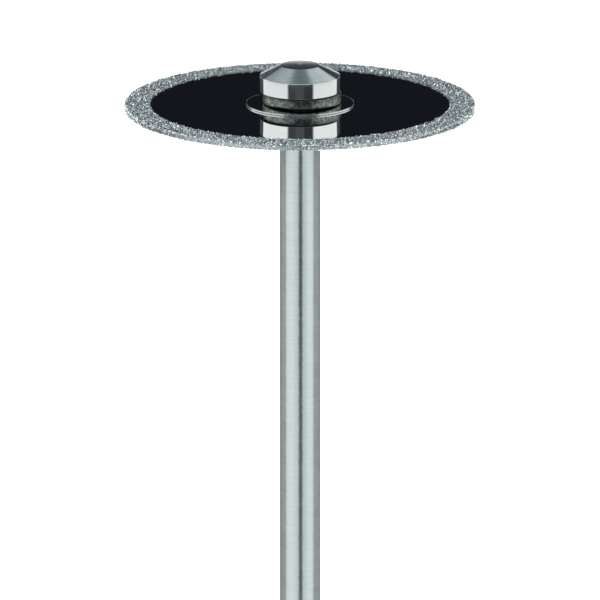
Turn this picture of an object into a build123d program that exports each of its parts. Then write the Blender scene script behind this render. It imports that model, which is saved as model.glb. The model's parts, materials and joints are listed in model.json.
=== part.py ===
"""Dental diamond disc, mounted for good on a straight handpiece mandrel.

A thin steel disc, plated with diamond grit round its rim, sits on the flange of a turned
mandrel. A shim washer, a solder ring and a bevelled head, all threaded over the mandrel's
journal, hold it down. Every piece is turned or stamped round, so each is a profile revolved
about Z, the axis on which the tool spins.

The origin is the middle of the shank's free end, and +Z runs up the shank to the head.
All sizes are in millimetres.
"""

from build123d import *
import math
import os

# The whole tool, from the shank's free end to the crown of the head
overall_length = 44.5

# Mandrel: a standard 2.35 handpiece shank, a seat flange and a slimmer journal
shank_diameter = 2.35
shank_end_rounding = 0.30
flange_diameter = 4.70
flange_rim_height = 0.50
flange_bevel_angle = 30.0
flange_edge_break = 0.05
neck_fillet = 0.25
journal_diameter = 1.80
journal_engagement = 1.00
journal_tip_chamfer = 0.15

# Steel disc, stamped from polished sheet
disc_diameter = 20.10
disc_thickness = 0.24

# Diamond grit in nickel, plated over both faces of the rim and round its edge
coating_band_width = 1.37
coating_face_thickness = 0.05
coating_edge_thickness = 0.12
coating_edge_rounding = 0.10
coating_border_slope = 45.0

# Thin polished washer on the disc
washer_diameter = 6.32
washer_thickness = 0.10
washer_edge_break = 0.03

# Ring of solder, which ran a little to one side and is undercut at its foot and below the head
solder_diameter = 4.56
solder_height = 0.72
solder_foot_height = 0.15
solder_foot_depth = 0.50
solder_neck_height = 0.10
solder_neck_depth = 0.15
solder_edge_break = 0.06
solder_offset = 0.11

# Turned head: a straight rim, a bevel and a top that is crowned a little
head_diameter = 4.68
head_rim_height = 0.91
head_bevel_height = 0.62
head_top_diameter = 2.26
head_crown_rise = 0.04
head_edge_rounding = 0.03
head_foot_chamfer = 0.03
head_bore_gap = 0.08

# Slack between the journal and each piece that is threaded over it, on the radius
bore_clearance = 0.01

# Heights, worked down from the crown of the head
bevel_top = overall_length - head_crown_rise
head_base = bevel_top - head_bevel_height - head_rim_height
washer_top = head_base - solder_height
disc_top = washer_top - washer_thickness
disc_base = disc_top - disc_thickness

# Radii that several pieces share
shank_radius = shank_diameter / 2
journal_radius = journal_diameter / 2
bore_radius = journal_radius + bore_clearance
disc_radius = disc_diameter / 2


def turned(profile):
    """The solid that a flat profile, drawn with x as radius and y as height, sweeps about Z."""
    return revolve(Plane.XZ * profile, Axis.Z)


def section(*corners):
    """A closed flat profile through (radius, height) corners."""
    return make_face(Polyline(*corners, close=True))


def corner_at(profile, radius, height):
    """The corner of a profile that lies nearest to a radius and a height."""
    return profile.vertices().sort_by_distance((radius, height, 0))[0]


def mandrel():
    """Shank, seat flange and journal, turned from one bar."""
    flange_radius = flange_diameter / 2
    rim_foot = disc_base - flange_rim_height
    bevel_run = flange_radius - shank_radius
    bevel_foot = rim_foot - bevel_run * math.tan(math.radians(flange_bevel_angle))
    journal_top = head_base + journal_engagement
    profile = section(
        (0, 0),
        (shank_radius, 0),
        (shank_radius, bevel_foot),
        (flange_radius, rim_foot),
        (flange_radius, disc_base),
        (journal_radius, disc_base),
        (journal_radius, journal_top),
        (0, journal_top),
    )
    profile = fillet(corner_at(profile, shank_radius, 0), shank_end_rounding)
    profile = fillet(corner_at(profile, shank_radius, bevel_foot), neck_fillet)
    for height in (rim_foot, disc_base):
        profile = chamfer(corner_at(profile, flange_radius, height), flange_edge_break)
    profile = chamfer(corner_at(profile, journal_radius, journal_top), journal_tip_chamfer)
    return turned(profile)


def steel_disc():
    """The blank: a flat ring of sheet with its bore over the journal."""
    return turned(
        section(
            (bore_radius, disc_base),
            (disc_radius, disc_base),
            (disc_radius, disc_top),
            (bore_radius, disc_top),
        )
    )


def diamond_coating():
    """The plated layer: a collar of channel section that wraps the rim of the disc."""
    edge = disc_radius + coating_edge_thickness
    top = disc_top + coating_face_thickness
    foot = disc_base - coating_face_thickness
    border = disc_radius - coating_band_width
    slope_run = coating_face_thickness / math.tan(math.radians(coating_border_slope))
    profile = section(
        (border, disc_top),
        (border + slope_run, top),
        (edge, top),
        (edge, foot),
        (border + slope_run, foot),
        (border, disc_base),
        (disc_radius, disc_base),
        (disc_radius, disc_top),
    )
    for height in (top, foot):
        profile = fillet(corner_at(profile, edge, height), coating_edge_rounding)
    return turned(profile)


def shim_washer():
    """A thin washer that lies flat on the disc."""
    washer_radius = washer_diameter / 2
    profile = section(
        (bore_radius, disc_top),
        (washer_radius, disc_top),
        (washer_radius, washer_top),
        (bore_radius, washer_top),
    )
    return turned(chamfer(corner_at(profile, washer_radius, washer_top), washer_edge_break))


def solder_ring():
    """The ring of solder under the head, undercut top and bottom and set off centre."""
    ring_radius = solder_diameter / 2
    foot_radius = ring_radius - solder_foot_depth
    foot_top = washer_top + solder_foot_height
    neck_radius = ring_radius - solder_neck_depth
    neck_base = head_base - solder_neck_height
    profile = section(
        (0, washer_top),
        (foot_radius, washer_top),
        (foot_radius, foot_top),
        (ring_radius, foot_top),
        (ring_radius, neck_base),
        (neck_radius, neck_base),
        (neck_radius, head_base),
        (0, head_base),
    )
    for height in (foot_top, neck_base):
        profile = chamfer(corner_at(profile, ring_radius, height), solder_edge_break)
    bore = Pos(0, 0, washer_top) * Cylinder(
        bore_radius, solder_height, align=(Align.CENTER, Align.CENTER, Align.MIN)
    )
    return Pos(solder_offset, 0, 0) * turned(profile) - bore


def clamp_head():
    """The bevelled cap, blind bored from below to fit over the journal."""
    head_radius = head_diameter / 2
    top_radius = head_top_diameter / 2
    shoulder = head_base + head_rim_height
    bore_end = head_base + journal_engagement + head_bore_gap
    outline = Polyline(
        (0, overall_length),
        (0, bore_end),
        (bore_radius, bore_end),
        (bore_radius, head_base),
        (head_radius, head_base),
        (head_radius, shoulder),
        (top_radius, bevel_top),
    )
    crown_radius = (top_radius**2 + head_crown_rise**2) / (2 * head_crown_rise)
    crown_middle = overall_length - crown_radius
    half_way = math.asin(top_radius / crown_radius) / 2
    crown = ThreePointArc(
        (top_radius, bevel_top),
        (crown_radius * math.sin(half_way), crown_middle + crown_radius * math.cos(half_way)),
        (0, overall_length),
    )
    profile = make_face(Wire([*outline.edges(), crown]))
    profile = chamfer(corner_at(profile, head_radius, head_base), head_foot_chamfer)
    for radius, height in ((head_radius, shoulder), (top_radius, bevel_top)):
        profile = fillet(corner_at(profile, radius, height), head_edge_rounding)
    return turned(profile)


pieces = {
    "mandrel": mandrel(),
    "steel_disc": steel_disc(),
    "diamond_coating": diamond_coating(),
    "shim_washer": shim_washer(),
    "solder_ring": solder_ring(),
    "clamp_head": clamp_head(),
}

os.makedirs("parts", exist_ok=True)
for name, piece in pieces.items():
    export_step(piece, f"parts/{name}.step")
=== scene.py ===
import json
import math
import random

import bmesh
import bpy
from mathutils import Euler, Matrix, Vector, noise


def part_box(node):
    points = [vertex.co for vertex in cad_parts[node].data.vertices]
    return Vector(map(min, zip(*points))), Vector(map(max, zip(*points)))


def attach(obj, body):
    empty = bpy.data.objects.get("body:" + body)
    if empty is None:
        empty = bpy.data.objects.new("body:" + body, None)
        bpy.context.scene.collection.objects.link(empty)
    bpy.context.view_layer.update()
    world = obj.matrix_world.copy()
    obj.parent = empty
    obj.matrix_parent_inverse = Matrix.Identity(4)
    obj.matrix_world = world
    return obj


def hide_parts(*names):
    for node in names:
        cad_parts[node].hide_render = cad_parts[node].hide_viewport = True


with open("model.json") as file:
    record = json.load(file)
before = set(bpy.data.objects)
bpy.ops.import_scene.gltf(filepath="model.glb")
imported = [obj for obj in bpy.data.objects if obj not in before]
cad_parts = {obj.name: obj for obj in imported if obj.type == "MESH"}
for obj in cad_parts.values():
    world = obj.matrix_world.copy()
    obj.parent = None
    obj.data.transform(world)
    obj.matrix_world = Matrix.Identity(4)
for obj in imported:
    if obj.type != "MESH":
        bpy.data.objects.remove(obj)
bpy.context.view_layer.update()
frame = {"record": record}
MM = 0.001


# The mandrel is one bar of stainless steel, turned on a lathe and then ground. Its straight shank goes
# into the handpiece, its flange carries the disc from below, and its thinner journal runs up through
# the disc into the head. Grinding leaves fine rings round the shank.

SPIN_STEPS = 192
ROUNDING_STEPS = 4
FLAT_START = 0.008 * MM
SMOOTH = -1
SAME_PLACE = 0.0005 * MM
SAME_RING = 0.002 * MM


def ring_edges(bm, radius, height):
    """The edges of the ring that a corner of the profile leaves when it is spun."""
    return [
        edge
        for edge in bm.edges
        if all(
            abs(vert.co.z - height) < SAME_RING and abs(vert.co.xy.length - radius) < SAME_RING
            for vert in edge.verts
        )
    ]


def turned_mesh(corners, closed):
    """Spins a profile about Z. Each corner is its radius, its height and how much it is rounded: 0
    leaves it sharp, and SMOOTH is for a point on a curve. Close beside a rounding, the flats get an
    edge that keeps them flat."""
    bm = bmesh.new()
    chain = []
    for number, (radius, height, rounding) in enumerate(corners):
        corner = Vector((radius, 0, height))
        chain.append(bm.verts.new(corner))
        if rounding > 0:
            reach = rounding + FLAT_START
            for side, place in ((number - 1, len(chain) - 1), (number + 1, len(chain) + 1)):
                other = corners[side % len(corners)]
                toward = (Vector((other[0], 0, other[1])) - corner).normalized()
                chain.insert(place, bm.verts.new(corner + toward * reach))
    for start, end in zip(chain, chain[1:]):
        bm.edges.new((start, end))
    if closed:
        bm.edges.new((chain[-1], chain[0]))
    bmesh.ops.spin(
        bm,
        geom=bm.verts[:] + bm.edges[:],
        cent=(0, 0, 0),
        axis=(0, 0, 1),
        angle=math.tau,
        steps=SPIN_STEPS,
        use_merge=True,
    )
    bmesh.ops.remove_doubles(bm, verts=bm.verts, dist=SAME_PLACE)
    for radius, height, rounding in corners:
        ring = ring_edges(bm, radius, height)
        if rounding > 0:
            bmesh.ops.bevel(
                bm,
                geom=ring,
                offset=rounding,
                offset_type="OFFSET",
                segments=ROUNDING_STEPS,
                profile=0.5,
                affect="EDGES",
                material=-1,
            )
        elif rounding == 0:
            for edge in ring:
                edge.smooth = False
    bmesh.ops.recalc_face_normals(bm, faces=bm.faces)
    return bm


def finished_piece(name, bm, materials, node):
    """Turns the bmesh into a smooth piece whose flats stay flat, and puts it in place of its solid."""
    mesh = bpy.data.meshes.new(name)
    bm.to_mesh(mesh)
    bm.free()
    mesh.shade_smooth()
    piece = bpy.data.objects.new(name, mesh)
    bpy.context.scene.collection.objects.link(piece)
    weighted = piece.modifiers.new("flat faces", "WEIGHTED_NORMAL")
    weighted.weight = 100
    weighted.keep_sharp = True
    graph = bpy.context.evaluated_depsgraph_get()
    piece.data = bpy.data.meshes.new_from_object(piece.evaluated_get(graph))
    piece.modifiers.clear()
    for material in materials:
        piece.data.materials.append(material)
    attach(piece, "root")
    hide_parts(node)


PATTERN_LOW = 0.3
PATTERN_HIGH = 0.7


class Finish:
    """A node material with its shader at hand, and short calls for the nodes that feed it."""

    def __init__(self, name, color, metallic, roughness):
        self.material = bpy.data.materials.new(name)
        self.material.use_nodes = True
        self.nodes = self.material.node_tree.nodes
        self.links = self.material.node_tree.links
        self.shader = self.nodes["Principled BSDF"]
        self.shader.inputs["Base Color"].default_value = (*color, 1)
        self.shader.inputs["Metallic"].default_value = metallic
        self.shader.inputs["Roughness"].default_value = roughness

    def pattern(self, scale, detail, stretch=(1, 1, 1)):
        """A noise pattern on the object's own coordinates, with its scale in patches per metre."""
        place = self.nodes.new("ShaderNodeTexCoord")
        mapping = self.nodes.new("ShaderNodeMapping")
        mapping.inputs["Scale"].default_value = stretch
        texture = self.nodes.new("ShaderNodeTexNoise")
        texture.inputs["Scale"].default_value = scale
        texture.inputs["Detail"].default_value = detail
        self.links.new(place.outputs["Object"], mapping.inputs["Vector"])
        self.links.new(mapping.outputs["Vector"], texture.inputs["Vector"])
        return texture.outputs[0]

    def rings(self, scale, detail):
        """A pattern of rings round the Z axis, like the marks of a lathe on a face, with its scale in
        rings per metre."""
        place = self.nodes.new("ShaderNodeTexCoord")
        flat = self.nodes.new("ShaderNodeVectorMath")
        flat.operation = "MULTIPLY"
        flat.inputs[1].default_value = (1, 1, 0)
        radius = self.nodes.new("ShaderNodeVectorMath")
        radius.operation = "LENGTH"
        texture = self.nodes.new("ShaderNodeTexNoise")
        texture.noise_dimensions = "1D"
        texture.inputs["Scale"].default_value = scale
        texture.inputs["Detail"].default_value = detail
        self.links.new(place.outputs["Object"], flat.inputs[0])
        self.links.new(flat.outputs["Vector"], radius.inputs[0])
        self.links.new(radius.outputs["Value"], texture.inputs["W"])
        return texture.outputs[0]

    def levels(self, value, low, high, out_low, out_high):
        """Stretches a pattern's values from low and high to out_low and out_high."""
        remap = self.nodes.new("ShaderNodeMapRange")
        self.links.new(value, remap.inputs["Value"])
        for socket, number in zip(
            ("From Min", "From Max", "To Min", "To Max"), (low, high, out_low, out_high)
        ):
            remap.inputs[socket].default_value = number
        return remap.outputs["Result"]

    def shades(self, value, *stops):
        """Colours a pattern by stops of (place, colour) and feeds the base colour."""
        ramp = self.nodes.new("ShaderNodeValToRGB")
        elements = ramp.color_ramp.elements
        while len(elements) < len(stops):
            elements.new(0.5)
        for element, (place, color) in zip(elements, stops):
            element.position = place
            element.color = (*color, 1)
        self.links.new(value, ramp.inputs["Fac"])
        self.links.new(ramp.outputs["Color"], self.shader.inputs["Base Color"])

    def lower_upward(self, value, low, high, amount):
        """Takes an amount off a pattern's values, gradually from one height to another."""
        place = self.nodes.new("ShaderNodeTexCoord")
        parts = self.nodes.new("ShaderNodeSeparateXYZ")
        less = self.nodes.new("ShaderNodeMath")
        less.operation = "SUBTRACT"
        self.links.new(place.outputs["Object"], parts.inputs[0])
        self.links.new(value, less.inputs[0])
        self.links.new(self.levels(parts.outputs["Z"], low, high, 0, amount), less.inputs[1])
        return less.outputs[0]

    def vary_roughness(self, value, smoothest, roughest):
        """Lets a pattern vary the roughness, over the values that noise mostly keeps to."""
        roughness = self.levels(value, PATTERN_LOW, PATTERN_HIGH, smoothest, roughest)
        self.links.new(roughness, self.shader.inputs["Roughness"])

    def relief(self, value, depth):
        """Raises the surface by a pattern, depth metres from its lowest to its highest value."""
        bump = self.nodes.new("ShaderNodeBump")
        bump.inputs["Distance"].default_value = depth
        self.links.new(value, bump.inputs["Height"])
        self.links.new(bump.outputs["Normal"], self.shader.inputs["Normal"])

    def brushed_round(self, amount):
        """Fine lines that run round the Z axis and spread a highlight across them, along the axis."""
        tangent = self.nodes.new("ShaderNodeTangent")
        tangent.direction_type = "RADIAL"
        tangent.axis = "Z"
        self.links.new(tangent.outputs["Tangent"], self.shader.inputs["Tangent"])
        self.shader.inputs["Anisotropic"].default_value = amount
        self.shader.inputs["Anisotropic Rotation"].default_value = 0.25


SHANK_STEEL = (0.515, 0.57, 0.565)
GRINDING_LINES = 12000
GRINDING_STRETCH = (0.05, 0.05, 1.0)
RIPPLES = 6000
RIPPLE_STRETCH = (0.6, 0.6, 1.0)
RIPPLE_DEPTH = 0.010 * MM
SHANK_END_ROUNDING = 0.30 * MM
NECK_ROUNDING = 0.15 * MM
FLANGE_RIM_HEIGHT = 0.45 * MM
FLANGE_BEVEL = math.radians(30)
FLANGE_ROUNDING = 0.05 * MM
JOURNAL_RADIUS = 0.90 * MM
JOURNAL_TIP = 0.15 * MM

ground_steel = Finish("ground_steel", SHANK_STEEL, metallic=1.0, roughness=0.34)
ground_steel.brushed_round(0.95)
lines = ground_steel.pattern(GRINDING_LINES, detail=3.0, stretch=GRINDING_STRETCH)
ground_steel.shades(
    lines, (0.3, (0.48, 0.535, 0.53)), (0.5, SHANK_STEEL), (0.7, (0.55, 0.605, 0.60))
)
ground_steel.vary_roughness(lines, smoothest=0.31, roughest=0.37)
ripples = ground_steel.pattern(RIPPLES, detail=4.0, stretch=RIPPLE_STRETCH)
ground_steel.relief(ripples, RIPPLE_DEPTH)

shank_radius = frame["record"]["mounts"][0]["dims"]["r_mm"] * MM
flange_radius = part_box("mandrel")[1].x
journal_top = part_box("mandrel")[1].z
disc_low, disc_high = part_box("steel_disc")
flange_rim = disc_low.z - FLANGE_RIM_HEIGHT
flange_foot = flange_rim - (flange_radius - shank_radius) * math.tan(FLANGE_BEVEL)

finished_piece(
    "mandrel_turned",
    turned_mesh(
        [
            (0, 0, 0),
            (shank_radius, 0, SHANK_END_ROUNDING),
            (shank_radius, flange_foot, NECK_ROUNDING),
            (flange_radius, flange_rim, FLANGE_ROUNDING),
            (flange_radius, disc_low.z, FLANGE_ROUNDING),
            (JOURNAL_RADIUS, disc_low.z, 0),
            (JOURNAL_RADIUS, journal_top - JOURNAL_TIP, 0),
            (JOURNAL_RADIUS - JOURNAL_TIP, journal_top, 0),
            (0, journal_top, 0),
        ],
        closed=False,
    ),
    [ground_steel.material],
    "mandrel",
)


# The disc is stamped from thin stainless sheet and polished to a mirror on both faces. It is threaded
# over the journal and lies on the flange. It looks black only where it reflects something dark.

BORE_CLEARANCE = 0.01 * MM
SMEARS = 900
POLISHING_RINGS = 9000
POLISHING_DEPTH = 0.00001 * MM
bore_radius = JOURNAL_RADIUS + BORE_CLEARANCE

mirror_steel = Finish("mirror_steel", (0.55, 0.565, 0.575), metallic=1.0, roughness=0.0)
smears = mirror_steel.pattern(SMEARS, detail=3.0)
mirror_steel.shades(smears, (0.3, (0.53, 0.545, 0.555)), (0.7, (0.57, 0.585, 0.595)))
mirror_steel.relief(mirror_steel.rings(POLISHING_RINGS, detail=3.0), POLISHING_DEPTH)

finished_piece(
    "disc_polished",
    turned_mesh(
        [
            (bore_radius, disc_low.z, 0),
            (disc_high.x, disc_low.z, 0),
            (disc_high.x, disc_high.z, 0),
            (bore_radius, disc_high.z, 0),
        ],
        closed=True,
    ),
    [mirror_steel.material],
    "steel_disc",
)


# Nickel is plated over the rim of the disc, on both faces and round the edge, and it holds the grit.
# It ends on the polished face in a low smooth slope.

BAND_WIDTH = 1.37 * MM
NICKEL_SINK = 0.015 * MM
NICKEL_ROUNDING = 0.08 * MM
NODULES = 9000
NODULE_DEPTH = 0.012 * MM
coat_low, coat_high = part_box("diamond_coating")
coat_border = disc_high.x - BAND_WIDTH
coat_slope = coat_high.z - disc_high.z
nickel_edge = coat_high.x - NICKEL_SINK
nickel_top = coat_high.z - NICKEL_SINK
nickel_foot = coat_low.z + NICKEL_SINK

# The nickel's grey is partly its own and partly painted shade: it is painted dark so that the gaps
# between the grains look shaded.
nickel = Finish("nickel_plate", (0.30, 0.33, 0.34), metallic=1.0, roughness=0.36)
nodules = nickel.pattern(NODULES, detail=3.0)
nickel.shades(nodules, (0.35, (0.19, 0.215, 0.225)), (0.7, (0.44, 0.485, 0.50)))
nickel.relief(nodules, NODULE_DEPTH)

finished_piece(
    "nickel_rim",
    turned_mesh(
        [
            (coat_border, disc_high.z, 0),
            (coat_border + coat_slope, nickel_top, 0),
            (nickel_edge, nickel_top, NICKEL_ROUNDING),
            (nickel_edge, nickel_foot, NICKEL_ROUNDING),
            (coat_border + coat_slope, nickel_foot, 0),
            (coat_border, disc_low.z, 0),
            (disc_high.x, disc_low.z, 0),
            (disc_high.x, disc_high.z, 0),
        ],
        closed=True,
    ),
    [nickel.material],
    "diamond_coating",
)


# The grit is crushed diamond, sieved to about a tenth of a millimetre, that sits half sunk in the
# nickel. Each grain is one of a few splinters, stretched and turned at random.

GRAIN_SHAPES = 24
GRAIN_POINTS = 9
GRAIN_SEED = 20
POINT_REACH = (0.8, 1.15)
GRAIN_STRETCH = (0.75, 1.2)
GRAIN_PITCH = 0.106 * MM
GRAIN_SMALL = 0.036 * MM
GRAIN_LARGE = 0.074 * MM
GRAIN_DEPTH = 0.018 * MM
GRAIN_SLACK = 0.45
FACE_START = 0.08 * MM
FACE_SPREAD_UP = 0.02 * MM
EDGE_ROWS = 4
EDGE_SINK = 0.035 * MM
EDGE_MARGIN = 0.04 * MM
EDGE_SPREAD_IN = 0.015 * MM
EDGE_SPREAD_UP = 0.03 * MM
EDGE_DARKEST_PAINTED_LIGHT = 0.6

diamond = Finish("diamond_grain", (0.5, 0.52, 0.52), metallic=0.8, roughness=0.16)
diamond.shader.inputs["IOR"].default_value = 2.2
grain_shade = diamond.nodes.new("ShaderNodeAttribute")
grain_shade.attribute_name = "grain_shade"
diamond.shades(
    grain_shade.outputs["Fac"],
    (0.0, (0.26, 0.295, 0.315)),
    (0.35, (0.62, 0.675, 0.69)),
    (0.65, (0.86, 0.92, 0.935)),
    (1.0, (0.98, 1.0, 1.0)),
)

draw = random.Random(GRAIN_SEED)


def grain_shape(number):
    """A splinter: the convex hull of a few points scattered near a unit ball."""
    bm = bmesh.new()
    for point in range(GRAIN_POINTS):
        direction = Vector([draw.gauss(0, 1) for axis in range(3)]).normalized()
        bm.verts.new(direction * draw.uniform(*POINT_REACH))
    hull = bmesh.ops.convex_hull(bm, input=bm.verts)
    inside = [item for item in hull["geom_interior"] if isinstance(item, bmesh.types.BMVert)]
    bmesh.ops.delete(bm, geom=inside, context="VERTS")
    bmesh.ops.recalc_face_normals(bm, faces=bm.faces)
    mesh = bpy.data.meshes.new(f"grain_{number}")
    bm.to_mesh(mesh)
    bm.free()
    mesh.attributes.new("grain_shade", "FLOAT", "POINT")
    return mesh


grain_shapes = [grain_shape(number) for number in range(GRAIN_SHAPES)]


def scattered_grains(name, places, darkest=0.0):
    """One piece of many grains. Each place is a point on the nickel and the grain's radius. The
    grains' shades run from the darkest, at 0 or more, to 1."""
    bm = bmesh.new()
    bm.from_mesh(grain_shapes[0])
    bmesh.ops.delete(bm, geom=bm.verts, context="VERTS")
    for place, size in places:
        grain = draw.choice(grain_shapes).copy()
        turn = Euler([draw.uniform(0, math.tau) for axis in range(3)]).to_matrix().to_4x4()
        stretch = Matrix.Diagonal([size * draw.uniform(*GRAIN_STRETCH) for axis in range(3)] + [1])
        grain.transform(Matrix.Translation(place) @ turn @ stretch)
        shade = draw.uniform(darkest, 1)
        for value in grain.attributes["grain_shade"].data:
            value.value = shade
        bm.from_mesh(grain)
        bpy.data.meshes.remove(grain)
    mesh = bpy.data.meshes.new(name)
    bm.to_mesh(mesh)
    bm.free()
    mesh.materials.append(diamond.material)
    piece = bpy.data.objects.new(name, mesh)
    bpy.context.scene.collection.objects.link(piece)
    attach(piece, "root")


def ring_of_places(radius, height, spread_in, spread_up):
    """Places round a ring, a pitch apart, each moved a little at random."""
    count = round(math.tau * radius / GRAIN_PITCH)
    for number in range(count):
        angle = math.tau * (number + draw.uniform(-GRAIN_SLACK, GRAIN_SLACK)) / count
        out = radius + draw.uniform(-spread_in, spread_in)
        up = height + draw.uniform(-spread_up, spread_up)
        place = Vector((out * math.cos(angle), out * math.sin(angle), up))
        yield place, draw.uniform(GRAIN_SMALL, GRAIN_LARGE)


def face_places(face, up):
    """Places all over the band on one face of the disc, from its slope to the edge. The face is
    given by its height, and up is 1 on the top and -1 on the underside."""
    inner = coat_border + FACE_START
    outer = coat_high.x - GRAIN_LARGE
    rings = round((outer - inner) / GRAIN_PITCH)
    for ring in range(rings + 1):
        radius = inner + (outer - inner) * ring / rings
        nickel_height = min(radius - coat_border, coat_slope)
        height = face + up * (nickel_height - GRAIN_DEPTH)
        yield from ring_of_places(radius, height, GRAIN_SLACK * GRAIN_PITCH, FACE_SPREAD_UP)


def edge_places():
    """Places round the edge of the disc, between the two faces."""
    radius = coat_high.x - EDGE_SINK
    low = coat_low.z + EDGE_MARGIN
    high = coat_high.z - EDGE_MARGIN
    for row in range(EDGE_ROWS):
        height = low + (high - low) * row / (EDGE_ROWS - 1)
        yield from ring_of_places(radius, height, EDGE_SPREAD_IN, EDGE_SPREAD_UP)


scattered_grains("grit_top", face_places(disc_high.z, 1))
scattered_grains("grit_underside", face_places(disc_low.z, -1))
# Painted light: the grains round the edge get lighter shades than those on the faces, for the rim's
# brighter light.
scattered_grains("grit_edge", edge_places(), EDGE_DARKEST_PAINTED_LIGHT)


# The washer is punched from thin steel, which is polished as the disc is. It lies flat on the disc,
# under the solder ring. Its upper edge is smooth and bright, and its side is as the punch left it.

WASHER_TRIM = 0.035 * MM
WASHER_FOOT_ROUNDING = 0.03 * MM
WASHER_TOP_ROUNDING = 0.014 * MM
EDGE_MARKS = 5000
PUNCH_MARKS = 6000
STEEPEST_BRIGHT = 0.15
FLATTEST_BRIGHT = 0.9
FLAT = 0.999
washer_low, washer_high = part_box("shim_washer")
washer_radius = washer_high.x - WASHER_TRIM

bright_edge = Finish("washer_steel", (0.60, 0.615, 0.61), metallic=1.0, roughness=0.12)
edge_marks = bright_edge.pattern(EDGE_MARKS, detail=2.0)
bright_edge.vary_roughness(edge_marks, smoothest=0.08, roughest=0.18)

punched_edge = Finish("punched_edge", (0.50, 0.52, 0.52), metallic=1.0, roughness=0.2)
punch_marks = punched_edge.pattern(PUNCH_MARKS, detail=3.0)
punched_edge.vary_roughness(punch_marks, smoothest=0.18, roughest=0.3)

washer_bm = turned_mesh(
    [
        (bore_radius, washer_low.z, 0),
        (washer_radius, washer_low.z, WASHER_FOOT_ROUNDING),
        (washer_radius, washer_high.z, WASHER_TOP_ROUNDING),
        (bore_radius, washer_high.z, 0),
    ],
    closed=True,
)
for face in washer_bm.faces:
    if STEEPEST_BRIGHT < face.normal.z < FLATTEST_BRIGHT:
        face.material_index = 1
    elif abs(face.normal.z) < FLAT:
        face.material_index = 2
finished_piece(
    "washer_polished",
    washer_bm,
    [mirror_steel.material, bright_edge.material, punched_edge.material],
    "shim_washer",
)


# The solder ran round the journal and set as a rough grey ring, a little off centre. It holds the
# head. Where it pulled in, at its foot and below the head, its recesses are painted black as shade,
# and its wall is painted darker towards the head as the head's shadow.

SOLDER_FOOT_HEIGHT = 0.15 * MM
SOLDER_FOOT_DEPTH = 0.50 * MM
SOLDER_FOOT_ROUNDING = 0.10 * MM
SOLDER_NECK_HEIGHT = 0.10 * MM
SOLDER_NECK_DEPTH = 0.15 * MM
SOLDER_SHOULDER = 0.03 * MM
SOLDER_SHOULDER_ROUNDING = 0.06 * MM
SOLDER_WALL_CUTS = 8
WALL_SLACK = 0.01
SAG_ALL_ROUND = 0.02 * MM
SAG_AT_SIDES = 0.11 * MM
RISE_AT_SIDES = 0.03 * MM
LUMP_SIZE = 0.012 * MM
LUMPS = 4500
MOTTLES = 5200
MOTTLE_DEPTH = 0.012 * MM
HEAD_SHADOW_HEIGHT = 0.32 * MM
HEAD_SHADOW_STRENGTH = 0.25
RECESS_SHADE_GRAINS = 9000
RECESS_SHADE_DEPTH = 0.01 * MM
HAIR = 0.01 * MM
solder_low, solder_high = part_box("solder_ring")

solder = Finish("solder_metal", (0.30, 0.32, 0.27), metallic=1.0, roughness=0.36)
mottles = solder.pattern(MOTTLES, detail=4.0)
# Painted shadow: the solder's shades are lowered towards its top, as shade under the head's overhang.
head_shadow_start = solder_high.z - HEAD_SHADOW_HEIGHT
solder.shades(
    solder.lower_upward(mottles, head_shadow_start, solder_high.z, HEAD_SHADOW_STRENGTH),
    (0.30, (0.06, 0.070, 0.062)),
    (0.52, (0.15, 0.172, 0.157)),
    (0.72, (0.32, 0.36, 0.33)),
)
solder.relief(mottles, MOTTLE_DEPTH)

# Painted shade: a near-black material laid in the solder's recesses, at its neck and its foot, where
# shade falls.
recess_shade = Finish("painted_recess_shade", (0.02, 0.02, 0.022), metallic=0.0, roughness=0.6)
recess_grains = recess_shade.pattern(RECESS_SHADE_GRAINS, detail=3.0)
recess_shade.shades(recess_grains, (0.35, (0.025, 0.025, 0.027)), (0.65, (0.07, 0.07, 0.074)))
recess_shade.relief(recess_grains, RECESS_SHADE_DEPTH)

solder_middle = (solder_low + solder_high) / 2
ring_radius = (solder_high.x - solder_low.x) / 2
foot_radius = ring_radius - SOLDER_FOOT_DEPTH
neck_radius = ring_radius - SOLDER_NECK_DEPTH
ring_foot = solder_low.z + SOLDER_FOOT_HEIGHT
ring_top = solder_high.z - SOLDER_NECK_HEIGHT + SOLDER_SHOULDER
solder_bore = bore_radius + solder_middle.x

ring_bm = turned_mesh(
    [
        (solder_bore, solder_low.z, 0),
        (foot_radius, solder_low.z, 0),
        (foot_radius, ring_foot, 0),
        (ring_radius, ring_foot, SOLDER_FOOT_ROUNDING),
        (ring_radius, ring_top, SOLDER_SHOULDER_ROUNDING),
        (neck_radius, ring_top, 0),
        (neck_radius, solder_high.z, 0),
        (solder_bore, solder_high.z, 0),
    ],
    closed=True,
)
# Painted shade: the faces of the neck and of the foot get the black recess material.
for face in ring_bm.faces:
    middle = face.calc_center_median()
    if middle.xy.length < neck_radius + HAIR or middle.z < ring_foot + HAIR / 10:
        face.material_index = 1
wall = [
    edge
    for edge in ring_bm.edges
    if abs(edge.verts[0].co.z - edge.verts[1].co.z) > SOLDER_FOOT_ROUNDING + HAIR
    and edge.verts[0].co.xy.length > neck_radius
]
bmesh.ops.subdivide_edges(ring_bm, edges=wall, cuts=SOLDER_WALL_CUTS, use_grid_fill=True)
for vert in ring_bm.verts:
    outward = Vector((vert.co.x, vert.co.y, 0)).normalized()
    share = (vert.co.z - ring_foot) / (ring_top - ring_foot)
    on_wall = -WALL_SLACK < share < 1 + WALL_SLACK
    if on_wall and vert.co.xy.length > foot_radius + HAIR:
        side = abs(outward.x)
        sag = SAG_ALL_ROUND + SAG_AT_SIDES * side
        vert.co.z += share * RISE_AT_SIDES * side**2 - (1 - share) * sag
    if vert.co.xy.length > neck_radius + 2 * HAIR:
        lump = noise.noise(vert.co * LUMPS) - 0.5
        vert.co += outward * lump * LUMP_SIZE
    vert.co.x += solder_middle.x
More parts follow.
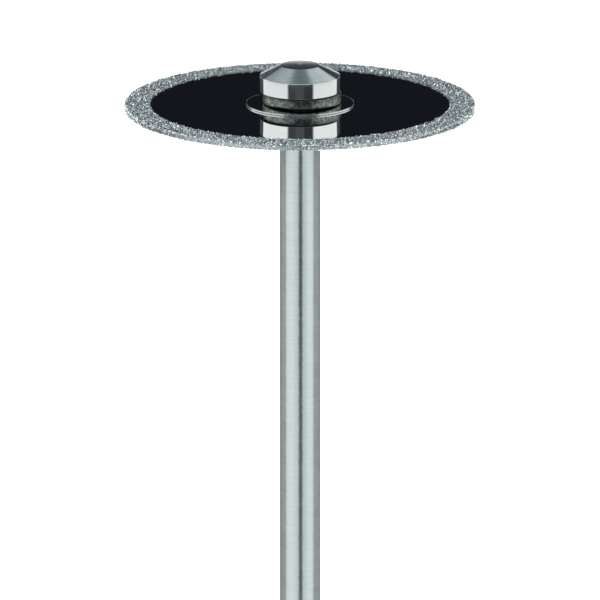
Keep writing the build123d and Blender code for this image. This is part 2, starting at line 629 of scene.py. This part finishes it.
finished_piece(
    "solder_ring_rough", ring_bm, [solder.material, recess_shade.material], "solder_ring"
)


# The head is turned from stainless bar: a short polished side, a bevel that still shows the marks of
# the lathe, and a small crowned top with the lathe's centre mark. It is bored blind from below and
# soldered over the journal.

HEAD_SIDE = 0.91 * MM
HEAD_FOOT_ROUNDING = 0.015 * MM
HEAD_ROUNDING = 0.03 * MM
HEAD_TOP_RADIUS = 1.13 * MM
HEAD_CROWN_RISE = 0.04 * MM
HEAD_CROWN_STEPS = 6
CENTRE_MARK_RADIUS = 0.14 * MM
CENTRE_MARK_FLOOR = 0.75
CENTRE_MARK_DEPTH = 0.05 * MM
HEAD_BORE_DEPTH = 1.08 * MM
HEAD_BACK_TAPER = 0.02 * MM
SIDE_LINE_DEPTH = 0.0001 * MM
BEVEL_RINGS = 16000
BEVEL_RING_DEPTH = 0.00015 * MM
BEVEL_FACES_UP = 0.8
TOP_RINGS = 12000
TOP_RING_DEPTH = 0.0005 * MM
head_low, head_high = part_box("clamp_head")
shoulder = head_low.z + HEAD_SIDE
bevel_top = head_high.z - HEAD_CROWN_RISE

head_side = Finish("head_side", (0.57, 0.59, 0.585), metallic=1.0, roughness=0.07)
head_side.brushed_round(0.8)
side_lines = head_side.pattern(GRINDING_LINES, detail=2.0, stretch=GRINDING_STRETCH)
head_side.relief(side_lines, SIDE_LINE_DEPTH)

head_bevel = Finish("head_bevel", (0.545, 0.59, 0.60), metallic=1.0, roughness=0.24)
head_bevel.brushed_round(0.9)
bevel_lines = head_bevel.rings(BEVEL_RINGS, detail=3.0)
head_bevel.vary_roughness(bevel_lines, smoothest=0.20, roughest=0.28)
head_bevel.relief(bevel_lines, BEVEL_RING_DEPTH)

# Painted shade: the crown's steel is painted darker and bluer than the side's, for the dark it faces.
head_top = Finish("head_top", (0.31, 0.33, 0.36), metallic=1.0, roughness=0.19)
head_top.relief(head_top.rings(TOP_RINGS, detail=3.0), TOP_RING_DEPTH)

crown = [
    (HEAD_TOP_RADIUS * share, head_high.z - HEAD_CROWN_RISE * share**2)
    for share in (step / HEAD_CROWN_STEPS for step in range(1, HEAD_CROWN_STEPS))
]
head_bm = turned_mesh(
    [
        (0, head_low.z + HEAD_BORE_DEPTH, 0),
        (bore_radius, head_low.z + HEAD_BORE_DEPTH, 0),
        (bore_radius, head_low.z, 0),
        (head_high.x - HEAD_BACK_TAPER, head_low.z, HEAD_FOOT_ROUNDING),
        (head_high.x, shoulder, HEAD_ROUNDING),
        (HEAD_TOP_RADIUS, bevel_top, HEAD_ROUNDING),
        *[(radius, height, SMOOTH) for radius, height in reversed(crown)],
        (CENTRE_MARK_RADIUS, head_high.z, 0),
        (CENTRE_MARK_FLOOR * CENTRE_MARK_RADIUS, head_high.z - CENTRE_MARK_DEPTH, 0),
        (0, head_high.z - CENTRE_MARK_DEPTH, SMOOTH),
    ],
    closed=False,
)
for face in head_bm.faces:
    middle = face.calc_center_median()
    if middle.z > bevel_top - HAIR:
        face.material_index = 2
    elif face.normal.z > BEVEL_FACES_UP:
        face.material_index = 1
finished_piece(
    "head_turned",
    head_bm,
    [head_side.material, head_bevel.material, head_top.material],
    "clamp_head",
)


# The studio is a white floor under the tool. Its light comes from soft panels all round, which show in
# the metal, while the camera itself sees plain white behind the tool.

FLOOR_RADIUS = 1.2
FLOOR_SEGMENTS = 96
FLOOR_GLOW = 0.85
BACKGROUND_GLOW = 1.2
IN_DEGREES = 180 / math.pi
LEAST_LEVEL = 1e-5

white_floor = Finish("white_floor", (0.85, 0.85, 0.85), metallic=0.0, roughness=0.9)
white_floor.shader.inputs["Emission Color"].default_value = (1, 1, 1, 1)
white_floor.shader.inputs["Emission Strength"].default_value = FLOOR_GLOW
floor_bm = bmesh.new()
bmesh.ops.create_circle(floor_bm, cap_ends=True, radius=FLOOR_RADIUS, segments=FLOOR_SEGMENTS)
floor_mesh = bpy.data.meshes.new("floor")
floor_bm.to_mesh(floor_mesh)
floor_bm.free()
floor_mesh.materials.append(white_floor.material)
floor = bpy.data.objects.new("floor", floor_mesh)
bpy.context.scene.collection.objects.link(floor)
floor.visible_glossy = False

world = bpy.data.worlds.new("studio")
bpy.context.scene.world = world
world.use_nodes = True
sky = world.node_tree.nodes
sky_links = world.node_tree.links
sky.clear()


def sky_math(operation, first, second=None):
    """A Math node on two values, each a socket or a number."""
    node = sky.new("ShaderNodeMath")
    node.operation = operation
    for socket, value in zip(node.inputs, (first, second)):
        if isinstance(value, (int, float)):
            socket.default_value = value
        elif value is not None:
            sky_links.new(value, socket)
    return node.outputs[0]


def soft_step(value, start, end):
    """0 before start, 1 after end, and smooth between them."""
    node = sky.new("ShaderNodeMapRange")
    node.interpolation_type = "SMOOTHSTEP"
    sky_links.new(value, node.inputs["Value"])
    node.inputs["From Min"].default_value = start
    node.inputs["From Max"].default_value = end
    return node.outputs["Result"]


direction = sky.new("ShaderNodeTexCoord").outputs["Generated"]
parts = sky.new("ShaderNodeSeparateXYZ")
sky_links.new(direction, parts.inputs[0])
east, north, up = parts.outputs
squares = sky_math("ADD", sky_math("MULTIPLY", east, east), sky_math("MULTIPLY", north, north))
level = sky_math("SQRT", squares)
elevation = sky_math("MULTIPLY", sky_math("ARCSINE", up), IN_DEGREES)


def light_panel(azimuth, half_width, low, high, blur):
    """How much of a panel of light is seen: its middle's azimuth from the front, half its width,
    its lower and upper elevation and the softness of its edges, all in degrees."""
    turn = math.radians(azimuth)
    across = sky_math(
        "ADD",
        sky_math("MULTIPLY", east, math.sin(turn)),
        sky_math("MULTIPLY", north, -math.cos(turn)),
    )
    share = sky_math("DIVIDE", across, sky_math("MAXIMUM", level, LEAST_LEVEL))
    away = sky_math("MULTIPLY", sky_math("ARCCOSINE", share), IN_DEGREES)
    inside = sky_math("SUBTRACT", 1, soft_step(away, half_width - blur, half_width + blur))
    above = soft_step(elevation, low - blur, low + blur)
    below = sky_math("SUBTRACT", 1, soft_step(elevation, high - blur, high + blur))
    return sky_math("MULTIPLY", inside, sky_math("MULTIPLY", above, below))


# Each panel: azimuth, half width, low, high, blur, brightness, colour
SIDE_PANELS = [
    (-83.5, 48.0, -1, 31, 4.0, 1.88, (1.0, 1.01, 0.99)),
    (85.7, 46.9, -1, 31, 4.0, 1.88, (1.0, 1.01, 0.99)),
]
PANELS = [
    (-23.0, 11.0, -2, 38, 1.5, 0.10, (0.92, 1.0, 1.08)),
    (0.0, 12.0, -2, 38, 1.5, 0.15, (0.96, 1.0, 1.06)),
    (26.0, 14.0, -2, 38, 1.5, 0.065, (0.95, 1.0, 1.08)),
    (0.0, 55.0, 44, 74, 6.0, 1.20, (0.86, 1.0, 1.07)),
    (0.0, 181.0, 58, 95, 8.0, 0.27, (0.88, 1.0, 1.03)),
    (145.0, 16.0, 29, 66, 3.0, 1.05, (0.94, 1.01, 1.00)),
    (-146.0, 17.0, 29, 44, 3.0, 0.50, (0.91, 1.01, 1.03)),
    (-146.0, 17.0, 44, 68, 3.0, 0.78, (0.91, 1.01, 1.02)),
    (150.0, 16.0, -2, 17, 3.0, 0.10, (0.85, 1.0, 1.05)),
    (-150.0, 18.0, -2, 24, 3.0, 0.12, (0.85, 1.0, 1.08)),
    (149.0, 9.0, -9, 6, 2.0, 0.50, (1.0, 1.0, 1.0)),
    (-149.0, 9.0, -9, 6, 2.0, 0.50, (1.0, 1.0, 1.0)),
    (-47.0, 40.5, -95, -2, 3.0, 1.24, (0.98, 1.01, 1.0)),
    (49.3, 34.8, -95, -2, 3.0, 1.24, (0.98, 1.01, 1.0)),
    (-25.0, 12.0, -30, -2, 4.0, 0.62, (0.98, 1.01, 1.0)),
    (27.0, 11.0, -30, -2, 4.0, 0.44, (0.98, 1.01, 1.0)),
    (4.0, 14.0, -95, -2, 2.0, 0.08, (0.85, 1.05, 1.08)),
    (138.0, 20.0, -95, -2, 5.0, 0.145, (0.97, 1.02, 1.0)),
    (-138.0, 20.0, -95, -2, 5.0, 0.145, (0.97, 1.02, 1.0)),
    (120.0, 40.0, -95, -2, 8.0, 0.11, (0.93, 1.02, 1.02)),
    (-120.0, 40.0, -95, -2, 8.0, 0.11, (0.93, 1.02, 1.02)),
    (-168.0, 12.0, -95, -3, 3.0, 0.30, (1.0, 1.0, 1.0)),
    (168.0, 12.0, -95, -3, 3.0, 0.06, (1.0, 1.0, 1.0)),
    (180.0, 9.0, -3, 10.0, 1.5, 1.23, (0.98, 1.0, 1.04)),
    (180.0, 14.0, 18, 34, 2.0, 0.085, (0.96, 1.0, 1.04)),
]
SHADOW_TONE = (0.011, 0.012, 0.016)
FAINT = 0.04
AFTER_FIRST_BOUNCE = 2.5

shadows = sky.new("ShaderNodeCombineXYZ")
for socket, channel in zip(shadows.inputs, SHADOW_TONE):
    socket.default_value = channel
total = shadows.outputs[0]

# A mirror-polished face that the camera sees shows the side panels only faintly, and so stays dark
path = sky.new("ShaderNodeLightPath")
first = sky_math("LESS_THAN", path.outputs["Ray Depth"], AFTER_FIRST_BOUNCE)
polished = sky_math("MULTIPLY", first, path.outputs["Is Singular Ray"])
side_share = sky_math("SUBTRACT", 1, sky_math("MULTIPLY", polished, 1 - FAINT))

for number, panel in enumerate(SIDE_PANELS + PANELS):
    azimuth, half_width, low, high, blur, brightness, color = panel
    seen = light_panel(azimuth, half_width, low, high, blur)
    if number < len(SIDE_PANELS):
        seen = sky_math("MULTIPLY", seen, side_share)
    scaled = sky.new("ShaderNodeVectorMath")
    scaled.operation = "SCALE"
    scaled.inputs[0].default_value = [brightness * channel for channel in color]
    sky_links.new(seen, scaled.inputs["Scale"])
    added = sky.new("ShaderNodeVectorMath")
    added.operation = "ADD"
    sky_links.new(total, added.inputs[0])
    sky_links.new(scaled.outputs[0], added.inputs[1])
    total = added.outputs[0]

lit = sky.new("ShaderNodeBackground")
sky_links.new(total, lit.inputs["Color"])
white = sky.new("ShaderNodeBackground")
white.inputs["Strength"].default_value = BACKGROUND_GLOW
choice = sky.new("ShaderNodeMixShader")
sky_links.new(path.outputs["Is Camera Ray"], choice.inputs["Fac"])
sky_links.new(lit.outputs[0], choice.inputs[1])
sky_links.new(white.outputs[0], choice.inputs[2])
surface = sky.new("ShaderNodeOutputWorld")
sky_links.new(choice.outputs[0], surface.inputs["Surface"])

bpy.context.scene.view_settings.view_transform = "Standard"


# The camera stands a metre away with a long lens and sees the disc from 13.6 degrees above. It is
# tilted down by a little more than that, because the middle of the picture lies below the disc.

CAMERA_DISTANCE = 1.0
CAMERA_TILT = math.radians(14.26)
SENSOR = 36.0
VIEW_WIDTH = 34.94 * MM
AIM_BELOW_DISC = 11.735 * MM

lens = bpy.data.cameras.new("camera")
lens.sensor_width = SENSOR
lens.lens = SENSOR * CAMERA_DISTANCE / VIEW_WIDTH
lens.clip_start = 0.05
lens.clip_end = 5
camera = bpy.data.objects.new("camera", lens)
bpy.context.scene.collection.objects.link(camera)
bpy.context.scene.camera = camera
aim = Vector((0, 0, disc_high.z - AIM_BELOW_DISC))
back = Vector((0, -math.cos(CAMERA_TILT), math.sin(CAMERA_TILT)))
camera.location = aim + back * CAMERA_DISTANCE
camera.rotation_euler = back.to_track_quat("Z", "Y").to_euler()
